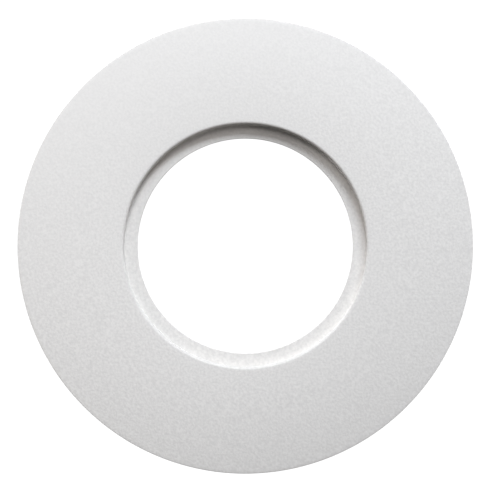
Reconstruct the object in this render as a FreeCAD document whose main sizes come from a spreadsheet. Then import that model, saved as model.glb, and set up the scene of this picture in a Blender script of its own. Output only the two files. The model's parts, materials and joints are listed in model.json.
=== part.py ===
import FreeCAD, Part
import math
import os
import Sketcher
from FreeCAD import Vector

# Ceiling trim ring for a fire sprinkler, in millimetres.
#
# A round, gently crowned flange of pressed sheet steel covers the ceiling round the sprinkler. A
# recess in its middle takes the sprinkler's own flange, which sits on a narrow lip round the
# opening and traps the ring against the ceiling. A foam gasket is bonded behind the rim.
#
# The ring is round about Y. Its face looks towards -Y, the ceiling lies on the +Y side, and Z is up.
# The origin is the centre of the opening, in the middle of the lip's thickness.

SIZES = [
    ("rim_diameter", 127.0, "outside diameter of the flange"),
    ("opening_diameter", 60.0, "clear opening that the sprinkler passes through"),
    ("recess_diameter", 67.6, "inside diameter of the recess wall"),
    ("recess_depth", 3.8, "from the highest part of the face to the front of the lip"),
    ("sheet_thickness", 0.7, "sheet steel with its powder coat"),
    ("inside_bend", 0.15, "inside radius of both bends"),
    ("crown_radius", 220.0, "radius of the arc that crowns the face"),
    ("edge_round", 0.15, "rounding of the blanked rim and the pierced opening"),
    ("gasket_inside_diameter", 100.0, "inside diameter of the foam ring"),
    ("gasket_outside_diameter", 120.0, "outside diameter of the foam ring"),
    ("gasket_back", 0.75, "how far the foam's level back lies in front of the origin"),
    ("adhesive_film", 0.1, "adhesive between the flange and the foam"),
]
SIZE = {alias: value for alias, value, _ in SIZES}
SHEET_NAME = "Sizes"

# Point positions on a sketch element, as Sketcher numbers them.
START = 1
END = 2
CENTRE = 3

# The sketch's own origin and horizontal axis.
ORIGIN = (-1, 1)
HORIZONTAL_AXIS = -1


def make_sheet(doc):
    """The driving dimensions: one row each, with its alias, its value and what it measures."""
    sheet = doc.addObject("Spreadsheet::Sheet", SHEET_NAME)
    for row, (alias, value, meaning) in enumerate(SIZES, start=1):
        sheet.set(f"A{row}", alias)
        sheet.set(f"B{row}", str(value))
        sheet.set(f"C{row}", meaning)
        sheet.setAlias(f"B{row}", alias)
    doc.recompute()


def bound(formula):
    """The formula with each alias in it written as a reference to the sheet."""
    words = formula.split()
    return " ".join(f"{SHEET_NAME}.{word}" if word in SIZE else word for word in words)


def make_body(doc, name):
    """A body with a sketch on the plane that holds the ring's axis: x is radius, y is depth."""
    body = doc.addObject("PartDesign::Body", name)
    body.Label = name
    body.Placement = FreeCAD.Placement(Vector(0, 0, 0), FreeCAD.Rotation())
    planes = {feature.Role: feature for feature in body.Origin.OriginFeatures}
    section = body.newObject("Sketcher::SketchObject", name + "_section")
    section.AttachmentSupport = [(planes["XY_Plane"], "")]
    section.MapMode = "FlatFace"
    return body, section


def line(section, start, end):
    return section.addGeometry(Part.LineSegment(Vector(*start, 0), Vector(*end, 0)), False)


def arc(section, centre, radius, start_angle, end_angle):
    """An arc about the centre, anticlockwise from one angle to the other, in degrees."""
    circle = Part.Circle(Vector(*centre, 0), Vector(0, 0, 1), radius)
    angles = math.radians(start_angle), math.radians(end_angle)
    return section.addGeometry(Part.ArcOfCircle(circle, *angles), False)


def constrain(section, kind, *references):
    section.addConstraint(Sketcher.Constraint(kind, *references))


def dimension(section, kind, references, name, formula, value):
    """A named dimension, whose value follows the sheet."""
    index = section.addConstraint(Sketcher.Constraint(kind, *references, value))
    section.renameConstraint(index, name)
    section.setExpression(f"Constraints.{name}", bound(formula))


def revolve(body, section, name):
    """The section turned once round the ring's axis."""
    solid = body.newObject("PartDesign::Revolution", name)
    solid.Profile = section
    solid.ReferenceAxis = (section, ["V_Axis"])
    solid.Angle = 360.0
    return solid


def crown_centre():
    """The centre of the crown's arcs, straight behind the end of the recess's upper bend."""
    outside_bend = SIZE["inside_bend"] + SIZE["sheet_thickness"]
    x = SIZE["recess_diameter"] / 2 + outside_bend
    y = SIZE["crown_radius"] - SIZE["recess_depth"] - SIZE["sheet_thickness"] / 2
    return x, y


def draw_pressed_sheet(section):
    """The sheet's section: lip, floor bend, recess wall, upper bend, crowned flange and rim.

    The front is drawn first, outwards from the opening, and then the back, inwards from the rim.
    Only the front carries dimensions. The back's arcs share the front's centres, and the
    opening's wall is one sheet thickness long, so the sheet is equally thick everywhere.
    """
    sheet = SIZE["sheet_thickness"]
    inside_bend = SIZE["inside_bend"]
    outside_bend = inside_bend + sheet
    opening = SIZE["opening_diameter"] / 2
    wall = SIZE["recess_diameter"] / 2
    rim = SIZE["rim_diameter"] / 2
    crown = SIZE["crown_radius"]
    lip_front = -sheet / 2
    lip_back = sheet / 2
    floor_centre = (wall - inside_bend, lip_front - inside_bend)
    bend_centre = (wall + outside_bend, lip_front - SIZE["recess_depth"] + outside_bend)
    centre = crown_centre()
    rim_slope = math.asin((rim - centre[0]) / crown)
    outward = Vector(math.sin(rim_slope), -math.cos(rim_slope), 0)
    rim_front = Vector(*centre, 0) + outward * crown
    rim_back = Vector(*centre, 0) + outward * (crown - sheet)
    rim_angle = 270 + math.degrees(rim_slope)

    front_lip = line(section, (opening, lip_front), (floor_centre[0], lip_front))
    front_floor = arc(section, floor_centre, inside_bend, 0, 90)
    front_wall = line(section, (wall, floor_centre[1]), (wall, bend_centre[1]))
    front_bend = arc(section, bend_centre, outside_bend, 180, 270)
    front_crown = arc(section, centre, crown, 270, rim_angle)
    rim_edge = line(section, (rim_front.x, rim_front.y), (rim_back.x, rim_back.y))
    back_crown = arc(section, centre, crown - sheet, 270, rim_angle)
    back_bend = arc(section, bend_centre, inside_bend, 180, 270)
    back_wall = line(section, (wall + sheet, bend_centre[1]), (wall + sheet, floor_centre[1]))
    back_floor = arc(section, floor_centre, outside_bend, 0, 90)
    back_lip = line(section, (floor_centre[0], lip_back), (opening, lip_back))
    opening_wall = line(section, (opening, lip_back), (opening, lip_front))

    smooth_joins = [
        (front_lip, END, front_floor, END),
        (front_floor, START, front_wall, START),
        (front_wall, END, front_bend, START),
        (front_bend, END, front_crown, START),
        (back_crown, START, back_bend, END),
        (back_bend, START, back_wall, START),
        (back_wall, END, back_floor, START),
        (back_floor, END, back_lip, START),
    ]
    corners_and_shared_centres = [
        (front_crown, END, rim_edge, START),
        (rim_edge, END, back_crown, END),
        (back_lip, END, opening_wall, START),
        (opening_wall, END, front_lip, START),
        (back_crown, CENTRE, front_crown, CENTRE),
        (back_bend, CENTRE, front_bend, CENTRE),
        (back_floor, CENTRE, front_floor, CENTRE),
    ]
    for join in smooth_joins:
        constrain(section, "Tangent", *join)
    for join in corners_and_shared_centres:
        constrain(section, "Coincident", *join)
    for level in (front_lip, back_lip):
        constrain(section, "Horizontal", level)
    for upright in (front_wall, back_wall, opening_wall):
        constrain(section, "Vertical", upright)
    constrain(section, "Vertical", front_bend, CENTRE, front_crown, CENTRE)
    constrain(section, "PointOnObject", front_crown, CENTRE, rim_edge)

    dimension(section, "DistanceX", (*ORIGIN, front_lip, START), "opening_radius",
              "opening_diameter / 2", opening)
    dimension(section, "DistanceY", (front_lip, START, *ORIGIN), "lip_front",
              "sheet_thickness / 2", sheet / 2)
    dimension(section, "DistanceX", (*ORIGIN, front_wall, START), "wall_radius",
              "recess_diameter / 2", wall)
    dimension(section, "Radius", (front_floor,), "floor_bend", "inside_bend", inside_bend)
    dimension(section, "Radius", (front_bend,), "upper_bend",
              "inside_bend + sheet_thickness", outside_bend)
    dimension(section, "DistanceY", (front_bend, END, front_lip, START), "depth",
              "recess_depth", SIZE["recess_depth"])
    dimension(section, "Radius", (front_crown,), "crown", "crown_radius", crown)
    dimension(section, "DistanceX", (*ORIGIN, front_crown, END), "rim_radius",
              "rim_diameter / 2", rim)
    dimension(section, "DistanceY", (opening_wall, END, opening_wall, START), "thickness",
              "sheet_thickness", sheet)


def cut_edges(shape):
    """The circular edges of the blanked rim and of the pierced opening."""
    opening = SIZE["opening_diameter"] / 2
    flange = SIZE["gasket_outside_diameter"] / 2
    names = []
    for number, edge in enumerate(shape.Edges, start=1):
        if not isinstance(edge.Curve, Part.Circle):
            continue
        at_opening = abs(edge.Curve.Radius - opening) < 1e-6
        at_rim = edge.Curve.Radius > flange
        full_turn = abs(edge.Curve.Axis.y) > 0.5
        if full_turn and (at_opening or at_rim):
            names.append(f"Edge{number}")
    return names


def make_trim_ring(doc):
    body, section = make_body(doc, "trim_ring")
    draw_pressed_sheet(section)
    pressing = revolve(body, section, "pressed_sheet")
    doc.recompute()
    rounding = body.newObject("PartDesign::Fillet", "coated_edges")
    rounding.Base = (pressing, cut_edges(pressing.Shape))
    rounding.Radius = SIZE["edge_round"]
    rounding.setExpression("Radius", bound("edge_round"))
    body.Tip = rounding
    return body


def make_ceiling_gasket(doc):
    """The foam ring: its front follows the flange's back, and its back is level."""
    body, section = make_body(doc, "ceiling_gasket")
    inside = SIZE["gasket_inside_diameter"] / 2
    outside = SIZE["gasket_outside_diameter"] / 2
    back = -SIZE["gasket_back"]
    centre = crown_centre()
    radius = SIZE["crown_radius"] - SIZE["sheet_thickness"] - SIZE["adhesive_film"]
    inside_slope = math.asin((inside - centre[0]) / radius)
    outside_slope = math.asin((outside - centre[0]) / radius)
    inside_front = centre[1] - radius * math.cos(inside_slope)
    outside_front = centre[1] - radius * math.cos(outside_slope)

    bonded = arc(section, centre, radius, 270 + math.degrees(inside_slope),
                 270 + math.degrees(outside_slope))
    outer_wall = line(section, (outside, outside_front), (outside, back))
    level_back = line(section, (outside, back), (inside, back))
    inner_wall = line(section, (inside, back), (inside, inside_front))

    for join in [
        (bonded, END, outer_wall, START),
        (outer_wall, END, level_back, START),
        (level_back, END, inner_wall, START),
        (inner_wall, END, bonded, START),
    ]:
        constrain(section, "Coincident", *join)
    constrain(section, "Vertical", outer_wall)
    constrain(section, "Vertical", inner_wall)
    constrain(section, "Horizontal", level_back)

    dimension(section, "DistanceX", (*ORIGIN, bonded, CENTRE), "crown_centre_radius",
              "recess_diameter / 2 + inside_bend + sheet_thickness", centre[0])
    dimension(section, "DistanceY", (*ORIGIN, bonded, CENTRE), "crown_centre_depth",
              "crown_radius - recess_depth - sheet_thickness / 2", centre[1])
    dimension(section, "Radius", (bonded,), "bonded_face",
              "crown_radius - sheet_thickness - adhesive_film", radius)
    dimension(section, "DistanceX", (*ORIGIN, inner_wall, START), "inside_radius",
              "gasket_inside_diameter / 2", inside)
    dimension(section, "DistanceX", (*ORIGIN, outer_wall, START), "outside_radius",
              "gasket_outside_diameter / 2", outside)
    dimension(section, "DistanceY", (level_back, START, *ORIGIN), "back",
              "gasket_back", -back)
    body.Tip = revolve(body, section, "foam_ring")
    return body


def check(doc, bodies):
    """Stop unless every object recomputed cleanly and every sub-part is one valid solid."""
    for thing in doc.Objects:
        if "Invalid" in thing.State or "Error" in thing.State:
            raise RuntimeError(f"{thing.Label} failed to recompute: {thing.State}")
        if thing.TypeId == "Sketcher::SketchObject" and not thing.FullyConstrained:
            raise RuntimeError(f"{thing.Label} isn't fully constrained")
    for body in bodies:
        if body.Shape.isNull() or not body.Shape.isValid():
            raise RuntimeError(f"{body.Label} has no valid shape")
        if len(body.Shape.Solids) != 1:
            raise RuntimeError(f"{body.Label} isn't one solid")


def main():
    doc = FreeCAD.newDocument("sprinkler_trim_ring")
    make_sheet(doc)
    bodies = [make_trim_ring(doc), make_ceiling_gasket(doc)]
    doc.recompute()
    check(doc, bodies)
    os.makedirs("parts", exist_ok=True)
    for body in bodies:
        body.Shape.exportStep(f"parts/{body.Label}.step")
        box = body.Shape.BoundBox
        print(f"{body.Label}: {body.Shape.Volume:.1f} mm3, y {box.YMin:.3f} to {box.YMax:.3f},"
              f" diameter {box.XLength:.3f}")


main()
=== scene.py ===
import bmesh
import bpy
import json
import math
import random
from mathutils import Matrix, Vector


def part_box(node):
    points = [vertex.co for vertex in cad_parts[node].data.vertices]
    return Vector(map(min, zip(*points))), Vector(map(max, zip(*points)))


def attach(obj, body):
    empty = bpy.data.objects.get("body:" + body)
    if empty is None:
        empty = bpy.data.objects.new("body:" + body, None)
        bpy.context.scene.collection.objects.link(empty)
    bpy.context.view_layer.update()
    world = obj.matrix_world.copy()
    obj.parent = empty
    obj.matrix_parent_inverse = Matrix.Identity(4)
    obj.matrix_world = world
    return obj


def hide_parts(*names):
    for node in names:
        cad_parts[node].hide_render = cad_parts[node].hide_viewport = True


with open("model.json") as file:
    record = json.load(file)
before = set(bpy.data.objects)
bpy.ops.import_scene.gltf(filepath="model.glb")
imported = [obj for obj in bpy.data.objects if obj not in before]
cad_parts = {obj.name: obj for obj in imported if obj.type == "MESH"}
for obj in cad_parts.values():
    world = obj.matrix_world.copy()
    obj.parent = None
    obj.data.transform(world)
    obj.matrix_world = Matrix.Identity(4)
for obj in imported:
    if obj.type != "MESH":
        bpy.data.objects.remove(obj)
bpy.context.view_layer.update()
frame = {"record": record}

# White ceiling trim ring of a fire sprinkler, in metres. It is round about Y, with its face
# towards -Y and its foam gasket behind the rim, on the +Y side.

MM = 0.001

# ---------------------------------------------------------------- sizes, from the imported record
RECORD = frame["record"]
MOUNTS = {mount["name"]: mount for mount in RECORD["mounts"]}
RING_LOW, RING_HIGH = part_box("trim_ring")
FOAM_LOW, FOAM_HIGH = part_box("ceiling_gasket")

OPENING = MOUNTS["sprinkler_opening"]["dims"]["r_mm"] * MM
WALL = MOUNTS["flange_recess"]["dims"]["r_mm"] * MM
WALL_LENGTH = MOUNTS["flange_recess"]["dims"]["length_mm"] * MM
SEAT = MOUNTS["flange_seat"]["pos_m"][1]
SHEET = -2 * SEAT
DEPTH = SEAT - RING_LOW.y
INSIDE_BEND = (DEPTH - WALL_LENGTH - SHEET) / 2
OUTSIDE_BEND = INSIDE_BEND + SHEET
RIM = RING_HIGH.x

# Sizes that the record doesn't give, as they are in the CAD model.
CROWN = 220.0 * MM
EDGE_ROUND = 0.15 * MM
ADHESIVE = 0.1 * MM
CROWN_CENTRE = (WALL + OUTSIDE_BEND, RING_LOW.y + CROWN)

FOAM_OUTSIDE = FOAM_HIGH.x
FOAM_INSIDE = 2 * MOUNTS["ceiling_face"]["pos_m"][0] - FOAM_OUTSIDE
FOAM_BACK = FOAM_HIGH.y


# ---------------------------------------------------------------- mesh work
TURN_STEPS = 288
SAME_POINT = 1e-7

# How many steps each stretch of the ring's section is divided into.
LIP_STEPS = 8
INSIDE_BEND_STEPS = 6
FLOOR_BEND_STEPS = 12
WALL_STEPS = 6
SEEN_BEND_STEPS = 14
FACE_STEPS = 36
BACK_STEPS = 28
EDGE_STEPS = 5


def polar(centre, radius, degrees):
    """A point of the section: x is the distance from the ring's axis, y its place along it."""
    angle = math.radians(degrees)
    return (centre[0] + radius * math.cos(angle), centre[1] + radius * math.sin(angle))


def arc(centre, radius, start, end, steps):
    return [polar(centre, radius, start + (end - start) * i / steps) for i in range(steps + 1)]


def straight(start, end, steps):
    """Points along a line, crowded towards both ends, so that its shading stays flat."""
    points = []
    for i in range(steps + 1):
        share = 0.5 - 0.5 * math.cos(math.pi * i / steps)
        points.append((start[0] + (end[0] - start[0]) * share,
                       start[1] + (end[1] - start[1]) * share))
    return points


def joined(*stretches):
    """One closed outline from stretches that follow each other, without their shared points."""
    outline = []
    for stretch in stretches:
        for point in stretch:
            if not outline or math.dist(point, outline[-1]) > SAME_POINT:
                outline.append(point)
    if math.dist(outline[0], outline[-1]) <= SAME_POINT:
        outline.pop()
    return outline


def unmoved(x, y, turn):
    return x, y


def lathe(name, outline, shape=unmoved):
    """The closed outline turned round Y. shape may move a point of the section at each turn."""
    mesh = bpy.data.meshes.new(name)
    work = bmesh.new()
    rings = []
    for step in range(TURN_STEPS):
        turn = 2 * math.pi * step / TURN_STEPS
        section = [shape(x, y, turn) for x, y in outline]
        rings.append([work.verts.new((x * math.sin(turn), y, x * math.cos(turn)))
                      for x, y in section])
    for here, after in zip(rings, rings[1:] + rings[:1]):
        for i in range(len(outline)):
            j = (i + 1) % len(outline)
            work.faces.new((here[i], here[j], after[j], after[i]))
    bmesh.ops.recalc_face_normals(work, faces=work.faces)
    work.to_mesh(mesh)
    work.free()
    mesh.shade_smooth()
    piece = bpy.data.objects.new(name, mesh)
    bpy.context.scene.collection.objects.link(piece)
    return piece


def pressed_outline():
    """The pressed sheet's section: lip, floor bend, wall, upper bend, crown, rim and back."""
    seat_back = SEAT + SHEET
    floor_centre = (WALL - INSIDE_BEND, SEAT - INSIDE_BEND)
    bend_centre = (WALL + OUTSIDE_BEND, RING_LOW.y + OUTSIDE_BEND)
    rim_slope = 270 + math.degrees(math.asin((RIM - CROWN_CENTRE[0]) / CROWN))
    crown_end = rim_slope - math.degrees(EDGE_ROUND / CROWN)
    rim_front = polar(CROWN_CENTRE, CROWN - EDGE_ROUND, crown_end)
    rim_back = polar(CROWN_CENTRE, CROWN - SHEET + EDGE_ROUND, crown_end)
    lip_front = (OPENING + EDGE_ROUND, SEAT + EDGE_ROUND)
    lip_back = (OPENING + EDGE_ROUND, seat_back - EDGE_ROUND)
    wall_back = WALL + SHEET
    return joined(
        straight((lip_front[0], SEAT), (floor_centre[0], SEAT), LIP_STEPS),
        arc(floor_centre, INSIDE_BEND, 90, 0, INSIDE_BEND_STEPS),
        straight((WALL, floor_centre[1]), (WALL, bend_centre[1]), WALL_STEPS),
        arc(bend_centre, OUTSIDE_BEND, 180, 270, SEEN_BEND_STEPS),
        arc(CROWN_CENTRE, CROWN, 270, crown_end, FACE_STEPS),
        arc(rim_front, EDGE_ROUND, crown_end, crown_end + 90, EDGE_STEPS),
        arc(rim_back, EDGE_ROUND, crown_end + 90, crown_end + 180, EDGE_STEPS),
        arc(CROWN_CENTRE, CROWN - SHEET, crown_end, 270, BACK_STEPS),
        arc(bend_centre, INSIDE_BEND, 270, 180, INSIDE_BEND_STEPS),
        straight((wall_back, bend_centre[1]), (wall_back, floor_centre[1]), WALL_STEPS),
        arc(floor_centre, OUTSIDE_BEND, 0, 90, FLOOR_BEND_STEPS),
        straight((floor_centre[0], seat_back), (lip_back[0], seat_back), LIP_STEPS),
        arc(lip_back, EDGE_ROUND, 90, 180, EDGE_STEPS),
        arc(lip_front, EDGE_ROUND, 180, 270, EDGE_STEPS),
    )


def make_ring():
    ring = lathe("pressed_trim_ring", pressed_outline())
    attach(ring, "root")
    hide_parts("trim_ring")
    return ring


FOAM_CORNER = 0.25 * MM
FOAM_FRONT_STEPS = 12
FOAM_CUT_STEPS = 8
FOAM_CORNER_STEPS = 4
FOAM_BACK_STEPS = 22

# How far the cut walls and the back wander from their true shape. CUT_WAVES and LUMP_WAVES are
# the fewest and the most waves round the ring, and how many of such waves are added up.
FOAM_SEED = 11
FOAM_WANDER = 0.12 * MM
CUT_WAVES = (3, 40, 10)
FOAM_LUMP = 0.05 * MM
LUMP_WAVES = (5, 60, 12)
LUMP_RINGS = 4
LUMP_FADE = 4


def foam_outline():
    """The foam's section: a bonded front that follows the flange, cut walls and a level back."""
    radius = CROWN - SHEET - ADHESIVE
    start = 270 + math.degrees(math.asin((FOAM_INSIDE - CROWN_CENTRE[0]) / radius))
    end = 270 + math.degrees(math.asin((FOAM_OUTSIDE - CROWN_CENTRE[0]) / radius))
    corner_level = FOAM_BACK - FOAM_CORNER
    outside_corner = (FOAM_OUTSIDE - FOAM_CORNER, corner_level)
    inside_corner = (FOAM_INSIDE + FOAM_CORNER, corner_level)
    return joined(
        arc(CROWN_CENTRE, radius, start, end, FOAM_FRONT_STEPS),
        straight(polar(CROWN_CENTRE, radius, end), (FOAM_OUTSIDE, corner_level),
                 FOAM_CUT_STEPS),
        arc(outside_corner, FOAM_CORNER, 0, 90, FOAM_CORNER_STEPS),
        straight((outside_corner[0], FOAM_BACK), (inside_corner[0], FOAM_BACK),
                 FOAM_BACK_STEPS),
        arc(inside_corner, FOAM_CORNER, 90, 180, FOAM_CORNER_STEPS),
        straight((FOAM_INSIDE, corner_level), polar(CROWN_CENTRE, radius, start),
                 FOAM_CUT_STEPS),
    )


def ripple(chance, lowest, highest, count):
    """A sum of waves round the ring, as a function of turn whose value lies between 0 and 1."""
    waves = [(chance.randint(lowest, highest), chance.uniform(0, 2 * math.pi))
             for _ in range(count)]
    return lambda turn: 0.5 + 0.5 * sum(math.sin(n * turn + p) for n, p in waves) / count


def make_foam():
    """The gasket. Its cut walls and its back wander a little, always into the foam."""
    chance = random.Random(FOAM_SEED)
    inner_cut = ripple(chance, *CUT_WAVES)
    outer_cut = ripple(chance, *CUT_WAVES)
    lumps = [ripple(chance, *LUMP_WAVES) for _ in range(LUMP_RINGS)]
    thickness = FOAM_BACK - FOAM_LOW.y

    def cut_from_sheet(x, y, turn):
        # free is 0 at the bonded front and 1 at the back; across is 0 inside and 1 outside.
        free = (y - FOAM_LOW.y) / thickness
        across = (x - FOAM_INSIDE) / (FOAM_OUTSIDE - FOAM_INSIDE)
        if across < 0.5:
            x += inner_cut(turn) * FOAM_WANDER * free * (1 - 2 * across)
        else:
            x -= outer_cut(turn) * FOAM_WANDER * free * (2 * across - 1)
        place = min(max(across, 0), 1) * (len(lumps) - 1)
        first = min(int(place), len(lumps) - 2)
        share = place - first
        lump = lumps[first](turn) * (1 - share) + lumps[first + 1](turn) * share
        return x, y - lump * FOAM_LUMP * free ** LUMP_FADE

    foam = lathe("foam_gasket", foam_outline(), shape=cut_from_sheet)
    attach(foam, "root")
    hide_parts("ceiling_gasket")
    return foam


# ---------------------------------------------------------------- materials
NOISE_DETAIL = 2.0


def new_material(name):
    """A material, its node tree, the object's own coordinates in it, and its shader."""
    material = bpy.data.materials.new(name)
    material.use_nodes = True
    tree = material.node_tree
    coordinates = tree.nodes.new("ShaderNodeTexCoord")
    return material, tree, coordinates.outputs["Object"], tree.nodes["Principled BSDF"]


def noise(tree, place, feature):
    """Noise whose features are about the given size, in metres."""
    node = tree.nodes.new("ShaderNodeTexNoise")
    node.inputs["Scale"].default_value = 1 / feature
    node.inputs["Detail"].default_value = NOISE_DETAIL
    tree.links.new(place, node.inputs["Vector"])
    return node.outputs["Fac"]


def ramp(tree, source, low, high, at_low, at_high):
    """The source's values from low to high, spread between two other values."""
    node = tree.nodes.new("ShaderNodeMapRange")
    node.inputs["From Min"].default_value = low
    node.inputs["From Max"].default_value = high
    node.inputs["To Min"].default_value = at_low
    node.inputs["To Max"].default_value = at_high
    tree.links.new(source, node.inputs["Value"])
    return node.outputs["Result"]


def tinted(tree, amount, low_colour, high_colour):
    """A colour that goes from one to the other as the amount goes from 0 to 1."""
    node = tree.nodes.new("ShaderNodeMixRGB")
    node.inputs["Color1"].default_value = (*low_colour, 1)
    node.inputs["Color2"].default_value = (*high_colour, 1)
    tree.links.new(amount, node.inputs["Fac"])
    return node.outputs["Color"]


def bump(tree, height, distance, under=None):
    """The normal of a relief of the given height in metres, laid over another if there is one."""
    node = tree.nodes.new("ShaderNodeBump")
    node.inputs["Distance"].default_value = distance
    tree.links.new(height, node.inputs["Height"])
    if under:
        tree.links.new(under, node.inputs["Normal"])
    return node.outputs["Normal"]


COAT_GRAIN = 0.70 * MM
COAT_GRAIN_HEIGHT = 0.020 * MM
COAT_GRAIN_SPREAD = (0.3, 0.7)
COAT_MIDDLE = 0.5
# The grain and its painted pit shade are weaker towards the top of the ring and full over its
# lower half.
COAT_STRONG_GRAIN_SIDE = (0.35, 0.0, -0.94)
COAT_WEAK_GRAIN_AT = -0.9 * RIM
COAT_WEAKEST_GRAIN, COAT_STRONGEST_GRAIN = 0.42, 1.0
COAT_PEEL = 2.6 * MM
COAT_PEEL_HEIGHT = 0.018 * MM
COAT_COLOUR = (0.804, 0.785, 0.757)
# The darker pit colour of the grain is painted shade in its pits.
COAT_PIT_SHADE = (0.703, 0.686, 0.662)
COAT_ROUGHNESS = 0.52
COAT_PIT_ROUGHNESS = 0.64


def coat_strength(tree, place):
    """How strong the coat's grain and its painted pit shade are: weaker towards the top of the
    ring, and full over its lower half."""
    along = tree.nodes.new("ShaderNodeVectorMath")
    along.operation = "DOT_PRODUCT"
    along.inputs[1].default_value = COAT_STRONG_GRAIN_SIDE
    tree.links.new(place, along.inputs[0])
    return ramp(tree, along.outputs["Value"], COAT_WEAK_GRAIN_AT, 0, COAT_WEAKEST_GRAIN, COAT_STRONGEST_GRAIN)


def powder_coat():
    """Matt white powder coat: fine pitted grain over a faint orange peel. The grain's darker pit
    colour is painted shade in the pits.
    """
    material, tree, place, shader = new_material("white_powder_coat")
    even = ramp(tree, noise(tree, place, COAT_GRAIN), *COAT_GRAIN_SPREAD,
                -COAT_MIDDLE, COAT_MIDDLE)
    grain = tree.nodes.new("ShaderNodeMath")
    grain.operation = "MULTIPLY_ADD"
    grain.inputs[2].default_value = COAT_MIDDLE
    tree.links.new(even, grain.inputs[0])
    tree.links.new(coat_strength(tree, place), grain.inputs[1])
    height = grain.outputs["Value"]
    # The grain mixes the coat's own colour with the painted pit shade.
    tree.links.new(tinted(tree, height, COAT_PIT_SHADE, COAT_COLOUR), shader.inputs["Base Color"])
    tree.links.new(ramp(tree, height, 0, 1, COAT_PIT_ROUGHNESS, COAT_ROUGHNESS),
                   shader.inputs["Roughness"])
    peel = bump(tree, noise(tree, place, COAT_PEEL), COAT_PEEL_HEIGHT)
    tree.links.new(bump(tree, height, COAT_GRAIN_HEIGHT, under=peel), shader.inputs["Normal"])
    return material


FOAM_CELL = 0.55 * MM
FOAM_CELL_DEPTH = 0.15 * MM
FOAM_SOFT = 2.5 * MM
# The near-black colour of the cut cells is painted shade inside them.
FOAM_PORE_SHADE_EDGES = (0.05, 0.55)
FOAM_PORE_SHADE = (0.006, 0.006, 0.007)
FOAM_SKIN = (0.030, 0.030, 0.032)
FOAM_ROUGHNESS = 0.9


def foam():
    """Dark grey closed-cell foam: small cut cells of uneven size, with painted shade inside them,
    over a soft surface.
    """
    material, tree, place, shader = new_material("closed_cell_foam")
    cells = tree.nodes.new("ShaderNodeTexVoronoi")
    cells.inputs["Scale"].default_value = 1 / FOAM_CELL
    tree.links.new(place, cells.inputs["Vector"])
    cell = cells.outputs["Distance"]
    # Painted shade fills the cut cells and fades out towards the foam's skin.
    pore_shade = ramp(tree, cell, *FOAM_PORE_SHADE_EDGES, 0, 1)
    tree.links.new(tinted(tree, pore_shade, FOAM_PORE_SHADE, FOAM_SKIN), shader.inputs["Base Color"])
    shader.inputs["Roughness"].default_value = FOAM_ROUGHNESS
    soft = bump(tree, noise(tree, place, FOAM_SOFT), FOAM_CELL_DEPTH)
    tree.links.new(bump(tree, cell, FOAM_CELL_DEPTH, under=soft), shader.inputs["Normal"])
    return material


# ---------------------------------------------------------------- stage, lights and camera
WHITE = (1, 1, 1, 1)
FLOOR_DROP = 100 * MM
FLOOR_RADIUS = 1.3
FLOOR_SIDES = 128
FLOOR_COLOUR = (0.85, 0.85, 0.85, 1)
FLOOR_ROUGHNESS = 0.9
FLOOR_GLOW = 0.5


def make_floor():
    """A plain pale floor below the ring, which throws no light on it."""
    bpy.ops.mesh.primitive_circle_add(
        vertices=FLOOR_SIDES, radius=FLOOR_RADIUS, fill_type="NGON",
        location=(0, 0, RING_LOW.z - FLOOR_DROP))
    floor = bpy.context.object
    floor.name = "floor"
    material, _, _, shader = new_material("pale_floor")
    shader.inputs["Base Color"].default_value = FLOOR_COLOUR
    shader.inputs["Roughness"].default_value = FLOOR_ROUGHNESS
    shader.inputs["Emission Color"].default_value = WHITE
    shader.inputs["Emission Strength"].default_value = FLOOR_GLOW
    floor.data.materials.append(material)
    floor.visible_diffuse = False
    floor.visible_glossy = False


AMBIENT = 0.0
BACKDROP = 1.1


def make_world():
    """A white background that only the camera's own rays see: the lamps alone light the ring."""
    world = bpy.data.worlds.new("studio")
    bpy.context.scene.world = world
    world.use_nodes = True
    tree = world.node_tree
    surround = tree.nodes["Background"]
    backdrop = tree.nodes.new("ShaderNodeBackground")
    for shader, strength in ((surround, AMBIENT), (backdrop, BACKDROP)):
        shader.inputs["Color"].default_value = WHITE
        shader.inputs["Strength"].default_value = strength
    path = tree.nodes.new("ShaderNodeLightPath")
    mix = tree.nodes.new("ShaderNodeMixShader")
    tree.links.new(path.outputs["Is Camera Ray"], mix.inputs["Fac"])
    tree.links.new(surround.outputs["Background"], mix.inputs[1])
    tree.links.new(backdrop.outputs["Background"], mix.inputs[2])
    tree.links.new(mix.outputs["Shader"], tree.nodes["World Output"].inputs["Surface"])


KEY_COLOUR = (0.882, 0.934, 1.0)
FILL_COLOUR = (0.997, 0.962, 0.95)


def softbox(name, clock, elevation, distance, width, height, power, colour=FILL_COLOUR):
    """A soft light aimed at the ring. clock is in degrees clockwise from the top of the face,
    and elevation in degrees in front of the face's plane. The rest are in metres and watts."""
    turn, rise = math.radians(clock), math.radians(elevation)
    towards = Vector((math.sin(turn) * math.cos(rise), -math.sin(rise),
                      math.cos(turn) * math.cos(rise)))
    data = bpy.data.lights.new(name, "AREA")
    data.shape = "RECTANGLE"
    data.size = width
    data.size_y = height
    data.energy = power
    data.color = colour
    lamp = bpy.data.objects.new(name, data)
    lamp.location = towards * distance
    lamp.rotation_mode = "QUATERNION"
    lamp.rotation_quaternion = towards.to_track_quat("Z", "Y")
    bpy.context.scene.collection.objects.link(lamp)


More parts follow.
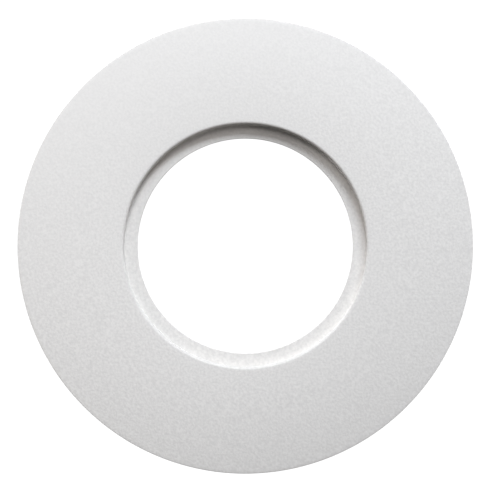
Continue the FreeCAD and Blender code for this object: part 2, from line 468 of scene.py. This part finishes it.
def make_lights():
    """Mostly a broad key above the ring, a little right of its top, so that the recess is
    shaded under its upper edge. The rest are weak, slightly warmer fills, and two behind the
    ring for its back. The floor cuts off light from below it, such as right_fill's lowest part."""
    softbox("key", 16, 42, 1.4, 0.80, 0.40, 17.4, KEY_COLOUR)
    softbox("top_fill", 0, 30, 1.4, 0.70, 0.20, 2.6, KEY_COLOUR)
    softbox("front_fill", 355, 68, 1.4, 0.50, 0.50, 4.4)
    softbox("right_fill", 95, 12, 1.4, 0.60, 0.20, 5.1)
    softbox("left_fill", 303, 12, 1.0, 0.50, 0.20, 4.1)
    softbox("near_lower_fill", 235, 50, 0.20, 0.06, 0.06, 0.033)
    softbox("rear_left", 300, -40, 1.4, 0.60, 0.60, 14.0, KEY_COLOUR)
    softbox("rear_right", 60, -40, 1.4, 0.60, 0.60, 10.0, KEY_COLOUR)


SENSOR_WIDTH = 36
CAMERA_SIGHT = 20
CAMERA_DISTANCE = 1.4
CAMERA_RISE = -2.5
PICTURE_WIDTH = 139.5 * MM
CAMERA_RIGHT = 1.33 * MM
CAMERA_DOWN = 1.13 * MM


def make_camera():
    """Nearly straight on, from a little below the ring's axis."""
    data = bpy.data.cameras.new("camera")
    data.sensor_width = SENSOR_WIDTH
    data.lens = SENSOR_WIDTH * CAMERA_DISTANCE / PICTURE_WIDTH
    data.clip_end = CAMERA_SIGHT
    camera = bpy.data.objects.new("camera", data)
    rise = math.radians(CAMERA_RISE)
    back = Vector((0, -math.cos(rise), math.sin(rise)))
    camera.location = Vector((CAMERA_RIGHT, 0, -CAMERA_DOWN)) + back * CAMERA_DISTANCE
    camera.rotation_euler = (math.radians(90) - rise, 0, 0)
    bpy.context.scene.collection.objects.link(camera)
    bpy.context.scene.camera = camera


def main():
    make_camera()
    make_world()
    make_lights()
    make_floor()
    bpy.context.scene.view_settings.view_transform = "Standard"
    ring = make_ring()
    gasket = make_foam()
    ring.data.materials.append(powder_coat())
    gasket.data.materials.append(foam())


main()
